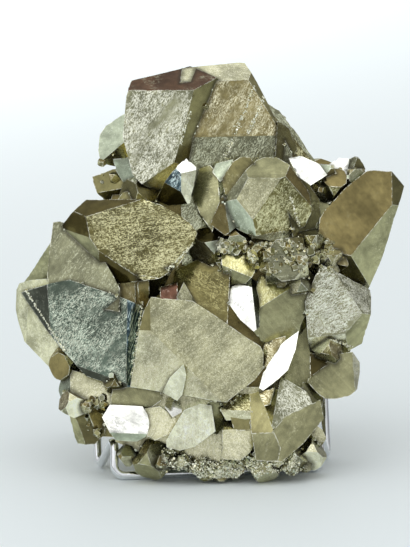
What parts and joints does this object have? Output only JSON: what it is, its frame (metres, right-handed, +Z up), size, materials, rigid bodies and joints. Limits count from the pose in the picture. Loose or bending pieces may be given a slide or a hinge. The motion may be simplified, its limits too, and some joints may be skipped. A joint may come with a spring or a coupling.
{
  "type": "pyrite specimen on stand",
  "caption": "Cluster of brassy, grey-gold pyrite crystals grown into each other, resting in a small bent chrome wire display stand.",
  "frame": {"origin": "middle of the underside of the specimen and stand together, on the surface they stand on", "axes": "+Z up, -Y towards the front that the specimen shows, +X to its right"},
  "size_m": [0.1584, 0.1158, 0.1596],
  "materials": {
    "pyrite": "satin",
    "chromed_wire": "gloss"
  },
  "bodies": {
    "root": {"pyrite_cluster": "pyrite", "wire_stand": "chromed_wire"}
  },
  "joints": []
}
